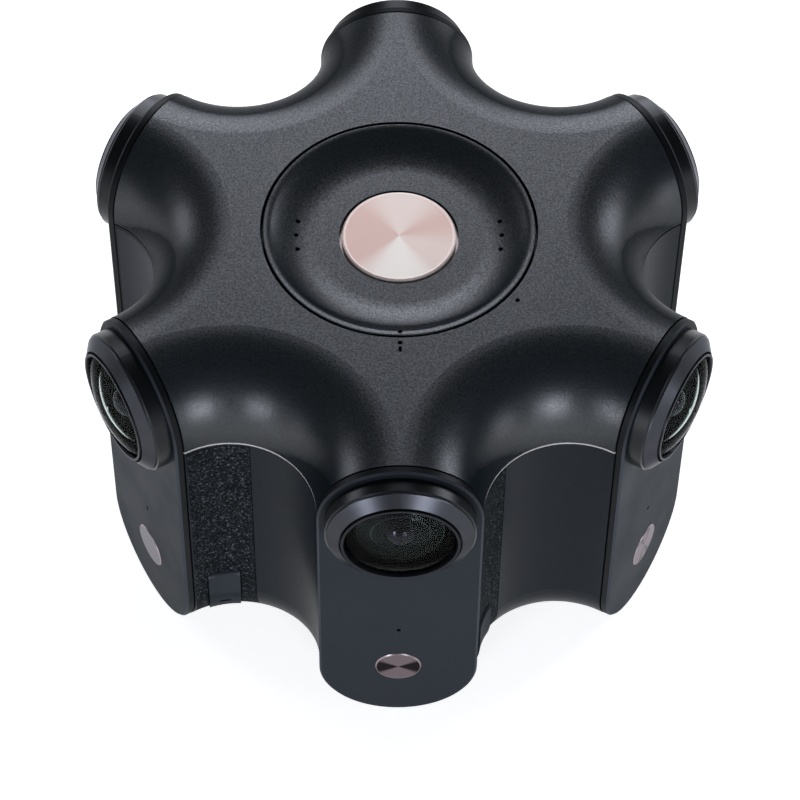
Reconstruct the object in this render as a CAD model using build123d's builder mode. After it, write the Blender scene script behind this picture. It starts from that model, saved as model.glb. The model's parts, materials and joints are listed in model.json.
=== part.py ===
from build123d import *
from math import atan2, cos, radians, sin
import os

# Six-lens 360 degree camera, in millimetres.
# The Z axis runs up through the middle of the star-shaped body and z = 0 is the surface that the
# feet stand on. The first lobe points along -Y and the others follow every 60 degrees.

LOBE_COUNT = 6
LOBE_STEP = 360 / LOBE_COUNT
FRONT_ANGLE = -90.0

# Body
foot_height = 1.2
body_height = 114.4
lobe_half_width = 21.6
lobe_face_radius = 80.0
plate_thickness = 2.6
lobe_flank_length = 0.5
edge_flat_width = 0.3
wall_thickness = 3.0
overrun_length = 12.0
seam_chamfer = 0.6
parting_drop_height = 1.3

# Front plates and their discs
plate_edge_chamfer = 0.6
plate_seam_chamfer = 0.5
disc_rise_height = 0.9
disc_radius = 6.4
disc_thickness = 1.4
disc_stand_height = 0.2
disc_chamfer = 0.3
pin_hole_radius = 0.6
pin_hole_rise_height = 18.3
pin_hole_depth = 1.2

# Lens modules, measured along each lens axis
barrel_radius = 17.0
barrel_clearance = 0.1
barrel_depth = 14.0
collar_radius = 19.6
collar_length = 4.2
collar_edge_chamfer = 0.4
bezel_base_radius = 19.1
bezel_land_length = 0.4
bezel_cone_length = 2.3
bezel_mouth_radius = 15.9
seam_ring_width = 0.5
seam_ring_depth = 1.2
lip_stand_height = 0.5
lip_width = 0.7
lip_slope_depth = 0.6
glass_radius = 14.5
glass_edge_thickness = 2.2
glass_rise_height = 3.6
glass_thickness = 1.8
baffle_radius_shares = (0.86, 0.66, 0.46)
baffle_step_depth = 3.4
element_edge_thickness = 1.5
element_rise_height = 2.0
element_clearance = 0.05

# Lens cells and image sensors behind the barrels
core_half_width = 38.0
core_wall_thickness = 2.5
sensor_board_width = 25.0
board_thickness = 1.6
sensor_width = 12.0
sensor_thickness = 1.6
cell_radius = 12.0
cell_bore_radius = 8.8
cell_flange_radius = 15.2
cell_flange_thickness = 2.4

# Dish on top, with the power button
dish_opening_radius = 37.0
dish_groove_width = 0.7
dish_edge_radius = 0.3
dish_lip_radius = 3.5
dish_floor_radius = 22.5
dish_depth = 4.0
dish_thickness = 2.0
ledge_width = 3.6
ledge_thickness = 2.0
button_radius = 15.25
button_gap = 0.75
button_stand_height = 0.5
button_chamfer = 0.4
button_flange_radius = 17.2
button_flange_thickness = 1.2
button_flange_gap = 0.05
button_travel_depth = 0.4
stem_radius = 3.0
stem_length = 2.2
switch_gap = 0.5
switch_width = 6.2
switch_height = 2.4
button_board_width = 20.0
bridge_thickness = 2.4
light_hole_radius = 0.65
light_ring_radius = 27.4
light_spread_angle = 10.0
front_hole_inset_length = 1.4
outer_hole_stand_length = 2.5
front_hole_stand_length = 1.6
outer_hole_angle = -38.7
slit_length = 1.8
slit_stand_length = 3.7
slit_width = 0.8
hole_depth = 1.2

# Mesh panels in the valleys, as turns round each valley's own axis
panel_depth = 1.8
panel_start_angle = -60.0
panel_end_angle = -17.4
bed_end_angle = -16.9
panel_foot_height = 8.0
panel_head_height = 1.3
panel_gap = 0.3
bed_reach_depth = 8.0
window_start_angle = -54.0
window_end_angle = -23.0
window_low_height = 37.0
window_drop_height = 9.5

# Card doors in the mesh panels, with their hinge pins, and the card sockets behind them
door_angle = -39.5
door_width = 8.8
door_low_height = 12.0
hinge_height = 28.9
door_proud_depth = 0.7
door_inside_depth = 1.5
door_gap = 0.3
hinge_depth = 0.5
knuckle_radius = 1.65
hinge_room_height = 2.0
hinge_pin_radius = 0.4
hinge_pin_length = 1.0
hinge_clearance = 0.05
hinge_end_gap = 0.15
notch_length = 3.4
notch_width = 1.0
notch_rise_height = 4.2
notch_depth = 1.2
card_slot_width = 1.8
card_slot_height = 12.4
card_slot_depth = 13.5
card_slot_middle_height = 22.4
socket_width = 3.4
socket_height = 14.4
socket_depth = 15.5
socket_flange_thickness = 1.2
socket_flange_width = 13.0
socket_flange_margin_width = 1.8

# Bottom cover, its screws, the feet and the tripod socket
cover_radius = 34.0
cover_thickness = 2.2
cover_gap = 0.1
seat_width = 6.0
seat_thickness = 2.4
screw_radius = 1.25
screw_head_radius = 2.5
screw_head_height = 1.2
screw_length = 3.2
screw_drive_radius = 1.1
screw_drive_depth = 0.7
screw_inset_width = 3.5
screw_count = 6
screw_start_angle = 30.0
grille_sectors = (-90.0, 26.0, 154.0)
grille_slots = 5
grille_step_angle = 12.0
grille_inner_radius = 17.5
grille_outer_radius = 26.0
grille_width = 1.8
foot_radius = 5.0
foot_cover_gap = 1.5
foot_depth = 1.0
foot_chamfer = 0.3
tripod_hole_radius = 2.6
tripod_hole_depth = 9.0
tripod_mouth_chamfer = 0.4
tripod_body_radius = 6.0
tripod_body_length = 10.6
tripod_flange_radius = 8.0
tripod_flange_thickness = 1.6

# Sockets on the port board
port_board_radius = 27.0
port_board_height = 15.2
standoff_radius = 2.2
standoff_pin_radius = 1.1
standoff_flange_gap = 3.8
standoff_count = 3
standoff_start_angle = 30.0
ethernet_length = 16.0
ethernet_width = 15.0
ethernet_mouth_length = 11.8
ethernet_mouth_width = 8.4
ethernet_mouth_depth = 11.0
ethernet_offset_depth = 18.2
usb_length = 9.4
usb_width = 3.8
usb_wall_thickness = 0.4
usb_mouth_depth = 6.4
usb_tongue_length = 6.6
usb_tongue_width = 0.7
side_port_across_width = 18.6
side_port_back_depth = 9.5
inlet_radius = 4.8
inlet_bore_radius = 3.0
inlet_pin_radius = 1.0
inlet_mouth_depth = 9.0
port_clearance = 0.2

# Fan
fan_width = 60.0
fan_height = 15.0
fan_bottom_height = 24.0
fan_corner_radius = 4.0
fan_rim_width = 1.5
fan_hole_inset_width = 5.0
fan_hole_radius = 2.2
fan_post_radius = 3.2
fan_peg_length = 3.0
fan_struts = 3
fan_strut_width = 3.0
fan_plate_thickness = 2.2
fan_shaft_radius = 1.5
fan_shaft_clearance = 0.05
rotor_gap = 0.5
hub_radius = 14.0
hub_wall_thickness = 1.6
hub_boss_radius = 3.6
hub_plate_inset_width = 1.0
blade_count = 7
blade_tip_gap = 0.9
blade_thickness = 1.4
blade_chord_width = 12.0
blade_pitch_angle = 38.0

# Heat sink, main board and the frame for the sensors
sink_radius = 34.0
sink_fin_thickness = 1.4
sink_fin_pitch = 5.6
sink_fin_count = 11
sink_base_thickness = 4.0
main_board_radius = 36.0
chip_width = 18.0
chip_height = 1.5
core_flange_thickness = 3.0
core_flange_outer_radius = 44.0
core_flange_inner_radius = 33.0
arm_width = 9.0
post_radius = 3.5
post_board_gap = 6.5
core_top_gap = 10.4
sink_fin_share = 0.641

# Values that follow from the ones above
body_bottom = foot_height
body_top = body_bottom + body_height
edge_radius = lobe_half_width - edge_flat_width
shell_end_radius = lobe_face_radius - plate_thickness
plate_low_height = body_bottom + lobe_half_width
disc_height = plate_low_height + disc_rise_height
lens_height = body_top - lobe_half_width
parting_height = lens_height - parting_drop_height
tangent_radius = shell_end_radius - lobe_flank_length
valley_axis_radius = tangent_radius / cos(radians(LOBE_STEP / 2))
valley_radius = valley_axis_radius * sin(radians(LOBE_STEP / 2)) - lobe_half_width
far_radius = lobe_face_radius + overrun_length
shell_hole_radius = barrel_radius + barrel_clearance
barrel_back = lobe_face_radius - barrel_depth
collar_front = lobe_face_radius + collar_length
baffle_radii = [glass_radius * share for share in baffle_radius_shares]
dish_radius = dish_opening_radius - dish_groove_width
dish_floor = body_top - dish_depth
dish_bottom = dish_floor - dish_thickness
button_hole_radius = button_radius + button_gap
button_top = dish_floor + button_stand_height
button_bottom = dish_bottom - button_flange_gap - button_flange_thickness
seat_radius = cover_radius - seat_width
screw_circle_radius = cover_radius - screw_inset_width
foot_circle_radius = cover_radius + foot_cover_gap + foot_radius
standoff_circle_radius = tripod_flange_radius + standoff_flange_gap + standoff_radius
seat_top = body_bottom + cover_thickness + seat_thickness
port_board_bottom = body_bottom + port_board_height
core_top = body_top - core_top_gap
fan_top = fan_bottom_height + fan_height
stack_thickness = sink_base_thickness + board_thickness + core_flange_thickness
free_height = lens_height - cell_flange_radius - fan_top - stack_thickness
sink_fin_height = free_height * sink_fin_share
sink_base_bottom = fan_top + sink_fin_height
main_board_bottom = sink_base_bottom + sink_base_thickness
main_board_top = main_board_bottom + board_thickness
core_flange_top = main_board_top + core_flange_thickness
post_circle_radius = main_board_radius + post_board_gap + post_radius
fan_bore_radius = fan_width / 2 - fan_rim_width
fan_hole_offset = fan_width / 2 - fan_hole_inset_width
fan_plate_radius = hub_radius - hub_plate_inset_width
blade_radius = fan_bore_radius - blade_tip_gap
sensor_face = core_half_width + board_thickness
hinge_z = body_bottom + hinge_height
door_bottom = body_bottom + door_low_height
door_opening_low = door_bottom - door_gap
door_opening_high = hinge_z + hinge_room_height
side_port_spots = ((-side_port_across_width, -side_port_back_depth),
                   (side_port_across_width, -side_port_back_depth))


def lobe_angle(index):
    """Direction of a lobe, in degrees from +X."""
    return FRONT_ANGLE + LOBE_STEP * index


def valley_angle(index):
    """Direction of the valley that follows a lobe."""
    return lobe_angle(index) + LOBE_STEP / 2


def outward(angle):
    """Level unit vector in a direction."""
    return Vector(cos(radians(angle)), sin(radians(angle)), 0)


def lobe_plane(angle, distance, height):
    """Upright plane that faces outward, with its own x to the side and y up."""
    centre = outward(angle) * distance + Vector(0, 0, height)
    return Plane(origin=centre, x_dir=outward(angle + 90), z_dir=outward(angle))


def axis_plane(angle, height):
    """Upright plane through the body's axis, with its own x outward and y up."""
    return Plane(origin=(0, 0, height), x_dir=outward(angle), z_dir=outward(angle - 90))


def lens_axis(angle):
    """Axis of the lens in a lobe."""
    return Axis((0, 0, lens_height), tuple(outward(angle)))


def valley_centre(index):
    """Point where the axis of a valley's round wall stands."""
    return outward(valley_angle(index)) * valley_axis_radius


def wall_direction(index, turn):
    """Direction from a valley's axis to its wall; a negative turn leans to the valley's own lobe."""
    return outward(valley_angle(index) + 180 - turn)


def star_face(half_width, radius, reach):
    """Star outline: straight lobes joined by round valleys."""
    with BuildSketch() as outline:
        with BuildLine():
            for index in range(LOBE_COUNT):
                here = lobe_angle(index)
                following = lobe_angle(index + 1)
                side = outward(here + 90) * half_width
                other = outward(following - 90) * half_width
                start = outward(here) * tangent_radius + side
                bottom = outward(valley_angle(index)) * (valley_axis_radius - radius)
                end = outward(following) * tangent_radius + other
                Line(outward(here) * reach - side, outward(here) * reach + side)
                Line(outward(here) * reach + side, start)
                ThreePointArc(start, bottom, end)
                Line(end, outward(following) * reach + other)
        make_face()
    return outline.sketch


def level_distance(edge):
    """Distance of an edge's middle from the body's axis."""
    return Vector(edge.center().X, edge.center().Y, 0).length


def star_body(inset, end_radius):
    """Rounded star, smaller than the outside by an inset, with its lobes cut flat at the ends."""
    low = body_bottom + inset
    high = body_top - inset
    face = star_face(lobe_half_width - inset, valley_radius + inset, far_radius)
    with BuildPart() as body:
        with BuildSketch(Plane.XY.offset(low)):
            add(face)
        extrude(amount=high - low)
        for level in (body.edges().group_by(Axis.Z)[0], body.edges().group_by(Axis.Z)[-1]):
            rim = level.filter_by(lambda edge: level_distance(edge) < far_radius - edge_flat_width)
            fillet(rim, edge_radius - inset)
        with BuildSketch(Plane.XY.offset(low)):
            RegularPolygon(end_radius, LOBE_COUNT, major_radius=False)
        extrude(amount=high - low, mode=Mode.INTERSECT)
    return body.part


def valley_sector(index, start, end, reach_in, reach_out, low, high):
    """Prism over a stretch of a valley's wall, between two turns and two heights."""
    centre = valley_centre(index)
    near = valley_radius - reach_out
    far = valley_radius + reach_in
    middle = (start + end) / 2
    with BuildPart() as sector:
        with BuildSketch(Plane.XY.offset(low)):
            with BuildLine():
                a = centre + wall_direction(index, start) * near
                b = centre + wall_direction(index, end) * near
                c = centre + wall_direction(index, end) * far
                d = centre + wall_direction(index, start) * far
                ThreePointArc(a, centre + wall_direction(index, middle) * near, b)
                Line(b, c)
                ThreePointArc(c, centre + wall_direction(index, middle) * far, d)
                Line(d, a)
            make_face()
        extrude(amount=high - low)
    return sector.part


def lens_openings():
    """Round openings through all the lobe ends."""
    with BuildPart() as openings:
        for index in range(LOBE_COUNT):
            outer_plane = lobe_plane(lobe_angle(index), shell_end_radius + wall_thickness, lens_height)
            with BuildSketch(outer_plane):
                Circle(shell_hole_radius)
            extrude(amount=-(wall_thickness + wall_thickness + wall_thickness))
    return openings.part


def door_plane(index, height):
    """Upright plane through a door's hinge depth: x along the wall, y up, z out of the body."""
    facing = valley_angle(index) - door_angle
    centre = valley_centre(index) - outward(facing) * (valley_radius + hinge_depth)
    centre = centre + Vector(0, 0, height)
    return Plane(origin=centre, x_dir=outward(facing + 90), z_dir=outward(facing))


def door_box(index, width, low, high):
    """Block as wide as a door opening that passes through the wall between two heights."""
    with BuildPart() as block:
        with BuildSketch(door_plane(index, (low + high) / 2).offset(bed_reach_depth)):
            Rectangle(width, high - low)
        extrude(amount=-(bed_reach_depth + bed_reach_depth + bed_reach_depth / 2))
    return block.part


def hinge_cylinder(index, radius, length):
    """Round bar along a door's hinge axis, centred on the door."""
    flat = door_plane(index, hinge_z)
    turned = Plane(origin=flat.origin - flat.x_dir * (length / 2), z_dir=flat.x_dir)
    with BuildPart() as bar:
        with BuildSketch(turned):
            Circle(radius)
        extrude(amount=length)
    return bar.part


def save(piece, name):
    """Label a finished piece and write it to its own file."""
    piece.label = name
    export_step(piece, "parts/" + name + ".step")


os.makedirs("parts", exist_ok=True)

outside = star_body(0, shell_end_radius)
inside = star_body(wall_thickness, shell_end_radius - wall_thickness)
panel_back = star_body(panel_depth, shell_end_radius)
openings = lens_openings()

# Top shell: the rounded upper part of the star, with the round opening for the dish
with BuildPart() as top_shell:
    add(outside)
    split(bisect_by=Plane.XY.offset(parting_height), keep=Keep.TOP)
    add(inside, mode=Mode.SUBTRACT)
    add(openings, mode=Mode.SUBTRACT)
    with BuildSketch(Plane.XY.offset(dish_bottom - ledge_thickness)):
        Circle(dish_opening_radius + wall_thickness)
    extrude(amount=body_top - wall_thickness - dish_bottom + ledge_thickness)
    with BuildSketch(Plane.XY.offset(dish_bottom - ledge_thickness)):
        Circle(dish_opening_radius - ledge_width)
    extrude(amount=body_top, mode=Mode.SUBTRACT)
    with BuildSketch(Plane.XY.offset(dish_bottom)):
        Circle(dish_opening_radius)
    extrude(amount=body_top, mode=Mode.SUBTRACT)
    with BuildSketch(Plane.XY.offset(body_top)):
        with Locations(outward(outer_hole_angle) * (dish_opening_radius + outer_hole_stand_length)):
            Circle(light_hole_radius)
        with Locations(outward(FRONT_ANGLE) * (dish_opening_radius + front_hole_stand_length)):
            Circle(light_hole_radius)
        with Locations(outward(FRONT_ANGLE) * (dish_opening_radius + slit_stand_length)):
            Rectangle(slit_width, slit_length)
    extrude(amount=-hole_depth, mode=Mode.SUBTRACT)
save(top_shell.part, "top_shell")

# Lower shell: the rest of the star, with beds for the mesh panels and a seat for the bottom cover
with BuildPart() as lower_shell:
    add(outside)
    split(bisect_by=Plane.XY.offset(parting_height), keep=Keep.BOTTOM)
    seam = lower_shell.edges().group_by(Axis.Z)[-1].filter_by(GeomType.CIRCLE)
    chamfer(seam, seam_chamfer)
    add(inside, mode=Mode.SUBTRACT)
    add(openings, mode=Mode.SUBTRACT)
    with BuildSketch(Plane.XY.offset(body_bottom + cover_thickness)):
        Circle(cover_radius + wall_thickness)
    extrude(amount=seat_thickness)
    with BuildSketch(Plane.XY.offset(body_bottom)):
        Circle(cover_radius)
    extrude(amount=cover_thickness, mode=Mode.SUBTRACT)
    with BuildSketch(Plane.XY.offset(body_bottom)):
        Circle(seat_radius)
        with PolarLocations(screw_circle_radius, screw_count, start_angle=screw_start_angle):
            Circle(screw_radius)
    extrude(amount=cover_thickness + seat_thickness, mode=Mode.SUBTRACT)
    with BuildSketch(Plane.XY.offset(body_bottom)):
        with PolarLocations(foot_circle_radius, LOBE_COUNT, start_angle=FRONT_ANGLE):
            Circle(foot_radius)
    extrude(amount=foot_depth, mode=Mode.SUBTRACT)
    with BuildSketch(Plane.XY.offset(body_bottom + cover_thickness + cover_gap)):
        with PolarLocations(post_circle_radius, LOBE_COUNT, start_angle=FRONT_ANGLE):
            Circle(post_radius)
    extrude(amount=main_board_top - body_bottom - cover_thickness - cover_gap)
    with BuildSketch(Plane.XY.offset(body_bottom + cover_thickness + cover_gap)):
        with GridLocations(2 * fan_hole_offset, 2 * fan_hole_offset, 2, 2):
            Circle(fan_post_radius)
    extrude(amount=fan_bottom_height - body_bottom - cover_thickness - cover_gap)
    with BuildSketch(Plane.XY.offset(fan_bottom_height)):
        with GridLocations(2 * fan_hole_offset, 2 * fan_hole_offset, 2, 2):
            Circle(fan_hole_radius)
    extrude(amount=fan_peg_length)
    panel_bottom = body_bottom + panel_foot_height
    bed_top = parting_height - panel_head_height
    window_bottom = body_bottom + window_low_height
    window_top = parting_height - window_drop_height
    for index in range(LOBE_COUNT):
        bed = valley_sector(index, panel_start_angle, bed_end_angle, bed_reach_depth, wall_thickness,
                            panel_bottom - panel_gap, bed_top)
        add(bed.cut(panel_back), mode=Mode.SUBTRACT)
        add(valley_sector(index, window_start_angle, window_end_angle, bed_reach_depth, wall_thickness,
                          window_bottom, window_top), mode=Mode.SUBTRACT)
        add(door_box(index, door_width + 2 * door_gap, door_opening_low, door_opening_high),
            mode=Mode.SUBTRACT)
save(lower_shell.part, "lower_shell")

# Mesh panels, one in the side of each lobe, with the opening and the hinge holes for its door
panel_skin = outside.cut(panel_back)
for index in range(LOBE_COUNT):
    with BuildPart() as panel:
        add(valley_sector(index, panel_start_angle, panel_end_angle, bed_reach_depth, wall_thickness,
                          panel_bottom, bed_top - panel_gap))
        add(panel_skin, mode=Mode.INTERSECT)
        add(door_box(index, door_width + 2 * door_gap, door_opening_low, door_opening_high),
            mode=Mode.SUBTRACT)
        add(hinge_cylinder(index, hinge_pin_radius + hinge_clearance,
                           door_width + 2 * hinge_pin_length + 2 * hinge_end_gap),
            mode=Mode.SUBTRACT)
    save(panel.part, "vent_mesh_" + str(index + 1))

# Card doors: curved flaps that stand a little proud and swing out on pins at their top
door_skin = star_body(-door_proud_depth, far_radius).cut(star_body(door_inside_depth, far_radius))
for index in range(LOBE_COUNT):
    with BuildPart() as door:
        add(door_box(index, door_width, door_bottom, hinge_z))
        add(hinge_cylinder(index, knuckle_radius, door_width))
        add(door_skin, mode=Mode.INTERSECT)
        add(hinge_cylinder(index, hinge_pin_radius, door_width + 2 * hinge_pin_length))
        notch_plane = door_plane(index, door_bottom + notch_rise_height)
        with BuildSketch(notch_plane.offset(hinge_depth + wall_thickness)):
            SlotOverall(notch_length, notch_width)
        extrude(amount=-(wall_thickness + notch_depth - door_proud_depth), mode=Mode.SUBTRACT)
    save(door.part, "card_door_" + str(index + 1))

# Card sockets behind the doors
flange_inset = wall_thickness + socket_flange_thickness
socket_skin = star_body(wall_thickness, far_radius).cut(star_body(flange_inset, far_radius))
with BuildPart() as card_sockets:
    for index in range(LOBE_COUNT):
        flange = door_box(index, socket_flange_width, door_opening_low - socket_flange_margin_width,
                          door_opening_high + socket_flange_margin_width).intersect(socket_skin)
        middle = body_bottom + card_slot_middle_height
        with BuildPart() as housing:
            housing_start = hinge_depth - wall_thickness - socket_flange_thickness / 2
            with BuildSketch(door_plane(index, middle).offset(housing_start)):
                Rectangle(socket_width, socket_height)
            extrude(amount=-socket_depth)
        with BuildPart() as slot:
            with BuildSketch(door_plane(index, middle).offset(hinge_depth)):
                Rectangle(card_slot_width, card_slot_height)
            extrude(amount=-(wall_thickness + card_slot_depth))
        add(flange)
        add(housing.part)
        add(slot.part, mode=Mode.SUBTRACT)
save(card_sockets.part, "card_sockets")

# Front plates: long rounded plates on the lobe ends
for index in range(LOBE_COUNT):
    angle = lobe_angle(index)
    with BuildPart() as plate:
        with BuildSketch(lobe_plane(angle, shell_end_radius, (lens_height + plate_low_height) / 2)):
            SlotCenterToCenter(lens_height - plate_low_height, 2 * lobe_half_width, rotation=90)
        extrude(amount=plate_thickness)
        across = Axis((0, 0, 0), tuple(outward(angle)))
        chamfer(plate.faces().sort_by(across)[-1].edges(), plate_edge_chamfer)
        chamfer(plate.faces().sort_by(across)[0].edges(), plate_seam_chamfer)
        with BuildSketch(lobe_plane(angle, shell_end_radius, lens_height)):
            Circle(shell_hole_radius)
        extrude(amount=plate_thickness, mode=Mode.SUBTRACT)
        with BuildSketch(lobe_plane(angle, lobe_face_radius, disc_height)):
            Circle(disc_radius)
        extrude(amount=disc_stand_height - disc_thickness, mode=Mode.SUBTRACT)
        with BuildSketch(lobe_plane(angle, lobe_face_radius, disc_height + pin_hole_rise_height)):
            Circle(pin_hole_radius)
        extrude(amount=-pin_hole_depth, mode=Mode.SUBTRACT)
    save(plate.part, "front_plate_" + str(index + 1))

# Metal discs in the lower part of the front plates
with BuildPart() as face_discs:
    for index in range(LOBE_COUNT):
        seat = lobe_plane(lobe_angle(index), lobe_face_radius + disc_stand_height, disc_height)
        with BuildSketch(seat):
            Circle(disc_radius - disc_chamfer)
        with BuildSketch(seat.offset(-disc_chamfer)):
            Circle(disc_radius)
        loft()
        with BuildSketch(seat.offset(-disc_chamfer)):
            Circle(disc_radius)
        extrude(amount=disc_chamfer - disc_thickness)
save(face_discs.part, "face_discs")

# Lens modules: barrel with collar, bezel ring, front glass and the element behind it
bezel_front = collar_front + bezel_land_length + bezel_cone_length
groove_floor = bezel_front - seam_ring_depth
lip_radius = bezel_mouth_radius - seam_ring_width
lip_front = bezel_front + lip_stand_height
lip_inner_front = lip_front - lip_slope_depth
baffle_floor = collar_front - baffle_step_depth * len(baffle_radii)
glass_front = collar_front + glass_edge_thickness
glass_apex = glass_front + glass_rise_height
element_back = collar_front - baffle_step_depth
element_front = element_back + element_edge_thickness
element_radius = baffle_radii[0] - element_clearance

for index in range(LOBE_COUNT):
    angle = lobe_angle(index)
    number = str(index + 1)
    with BuildPart() as barrel:
        with BuildSketch(axis_plane(angle, lens_height)):
            with BuildLine():
                points = [(barrel_back, barrel_radius), (lobe_face_radius, barrel_radius),
                          (lobe_face_radius, collar_radius),
                          (collar_front - collar_edge_chamfer, collar_radius),
                          (collar_front, collar_radius - collar_edge_chamfer)]
                for place, radius in enumerate(baffle_radii):
                    points.append((collar_front - baffle_step_depth * place, radius))
                    points.append((collar_front - baffle_step_depth * (place + 1), radius))
                points.append((baffle_floor, cell_radius))
                points.append((barrel_back, cell_radius))
                Polyline(*points, close=True)
            make_face()
        revolve(axis=lens_axis(angle))
    save(barrel.part, "lens_barrel_" + number)
    with BuildPart() as bezel:
        with BuildSketch(axis_plane(angle, lens_height)):
            with BuildLine():
                Polyline((collar_front, glass_radius), (collar_front, bezel_base_radius),
                         (collar_front + bezel_land_length, bezel_base_radius),
                         (bezel_front, bezel_mouth_radius), (groove_floor, bezel_mouth_radius),
                         (groove_floor, lip_radius), (lip_front, lip_radius),
                         (lip_front, lip_radius - lip_width), (lip_inner_front, glass_radius),
                         close=True)
            make_face()
        revolve(axis=lens_axis(angle))
    save(bezel.part, "lens_bezel_" + number)
    with BuildPart() as glass:
        with BuildSketch(axis_plane(angle, lens_height)):
            with BuildLine():
                Line((collar_front, baffle_radii[0]), (collar_front, glass_radius))
                Line((collar_front, glass_radius), (glass_front, glass_radius))
                RadiusArc((glass_front, glass_radius), (glass_apex, 0),
                          (glass_radius ** 2 + glass_rise_height ** 2) / (2 * glass_rise_height))
                Line((glass_apex, 0), (glass_apex - glass_thickness, 0))
                inner_rise = glass_apex - glass_thickness - collar_front
                RadiusArc((glass_apex - glass_thickness, 0), (collar_front, baffle_radii[0]),
                          -(baffle_radii[0] ** 2 + inner_rise ** 2) / (2 * inner_rise))
            make_face()
        revolve(axis=lens_axis(angle))
    save(glass.part, "front_glass_" + number)

with BuildPart() as inner_elements:
    for index in range(LOBE_COUNT):
        angle = lobe_angle(index)
        with BuildSketch(axis_plane(angle, lens_height)):
            with BuildLine():
                Polyline((element_front + element_rise_height, 0), (element_back, 0),
                         (element_back, element_radius), (element_front, element_radius))
                RadiusArc((element_front, element_radius), (element_front + element_rise_height, 0),
                          (element_radius ** 2 + element_rise_height ** 2) / (2 * element_rise_height))
            make_face()
        revolve(axis=lens_axis(angle))
save(inner_elements.part, "inner_elements")

# Lens cells: tubes that join the barrels to the image sensors
with BuildPart() as lens_cells:
    for index in range(LOBE_COUNT):
        angle = lobe_angle(index)
        with BuildSketch(lobe_plane(angle, sensor_face, lens_height)):
            Circle(cell_radius)
        extrude(amount=barrel_back - sensor_face)
        with BuildSketch(lobe_plane(angle, barrel_back - cell_flange_thickness, lens_height)):
            Circle(cell_flange_radius)
        extrude(amount=cell_flange_thickness)
        with BuildSketch(lobe_plane(angle, sensor_face, lens_height)):
            Circle(cell_bore_radius)
        extrude(amount=barrel_back - sensor_face, mode=Mode.SUBTRACT)
save(lens_cells.part, "lens_cells")

# Image sensors on their boards
with BuildPart() as sensor_boards:
    for index in range(LOBE_COUNT):
        angle = lobe_angle(index)
        with BuildSketch(lobe_plane(angle, core_half_width, lens_height)):
            Rectangle(sensor_board_width, sensor_board_width)
        extrude(amount=board_thickness)
        with BuildSketch(lobe_plane(angle, sensor_face, lens_height)):
            Rectangle(sensor_width, sensor_width)
        extrude(amount=sensor_thickness)
save(sensor_boards.part, "sensor_boards")

# Frame that holds the sensors: six-sided tube on a flange with arms, and a bridge for the switch
switch_top = button_bottom - stem_length - switch_gap
button_board_bottom = switch_top - switch_height - board_thickness
with BuildPart() as core_frame:
    with BuildSketch(Plane.XY.offset(main_board_top)):
        Circle(core_flange_outer_radius)
        arm_end = post_circle_radius + post_radius
        arm_middle = (core_flange_inner_radius + arm_end) / 2
        with PolarLocations(arm_middle, LOBE_COUNT, start_angle=FRONT_ANGLE):
            Rectangle(arm_end - core_flange_inner_radius, arm_width)
        Circle(core_flange_inner_radius, mode=Mode.SUBTRACT)
    extrude(amount=core_flange_thickness)
    with BuildSketch(Plane.XY.offset(core_flange_top)):
        RegularPolygon(core_half_width, LOBE_COUNT, major_radius=False)
        RegularPolygon(core_half_width - core_wall_thickness, LOBE_COUNT, major_radius=False,
                       mode=Mode.SUBTRACT)
    extrude(amount=core_top - core_flange_top)
    with BuildSketch(Plane.XY.offset(button_board_bottom)):
        Rectangle(button_board_width, 2 * core_half_width - core_wall_thickness)
    extrude(amount=-bridge_thickness)
save(core_frame.part, "core_frame")

# Switch under the power button
with BuildPart() as button_board:
    with BuildSketch(Plane.XY.offset(button_board_bottom)):
        Rectangle(button_board_width, button_board_width)
    extrude(amount=board_thickness)
    with BuildSketch(Plane.XY.offset(button_board_bottom + board_thickness)):
        Rectangle(switch_width, switch_width)
    extrude(amount=switch_height)
save(button_board.part, "button_board")

# Dish on top: a ring with a rounded lip and a hollow that runs down to a flat floor
with BuildPart() as top_dish:
    with BuildSketch(Plane.XZ):
        with BuildLine():
            edge_low = (dish_radius, body_top - dish_edge_radius)
            edge_top = (dish_radius - dish_edge_radius, body_top)
            floor_edge = (dish_floor_radius, dish_floor)
            run = edge_top[0] - dish_floor_radius
            slope = 2 * atan2(dish_depth, run)
            hollow_radius = run / sin(slope) - dish_lip_radius
            slope_start = (edge_top[0] - dish_lip_radius * sin(slope),
                           body_top - dish_lip_radius * (1 - cos(slope)))
            Line((button_hole_radius, dish_bottom), (dish_radius, dish_bottom))
            Line((dish_radius, dish_bottom), edge_low)
            RadiusArc(edge_low, edge_top, -dish_edge_radius)
            RadiusArc(edge_top, slope_start, -dish_lip_radius)
            RadiusArc(slope_start, floor_edge, hollow_radius)
            Line(floor_edge, (button_hole_radius, dish_floor))
            Line((button_hole_radius, dish_floor), (button_hole_radius, dish_bottom))
        make_face()
    revolve(axis=Axis.Z)
    with BuildSketch(Plane.XY.offset(body_top)):
        for side in (0, 180):
            for turn in (-light_spread_angle, 0, light_spread_angle):
                with Locations(outward(side + turn) * light_ring_radius):
                    Circle(light_hole_radius)
    extrude(amount=-(dish_depth + hole_depth), mode=Mode.SUBTRACT)
    with BuildSketch(Plane.XY.offset(body_top)):
        with Locations(outward(FRONT_ANGLE) * (dish_radius - front_hole_inset_length)):
            Circle(light_hole_radius)
    extrude(amount=-hole_depth, mode=Mode.SUBTRACT)
save(top_dish.part, "top_dish")

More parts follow.
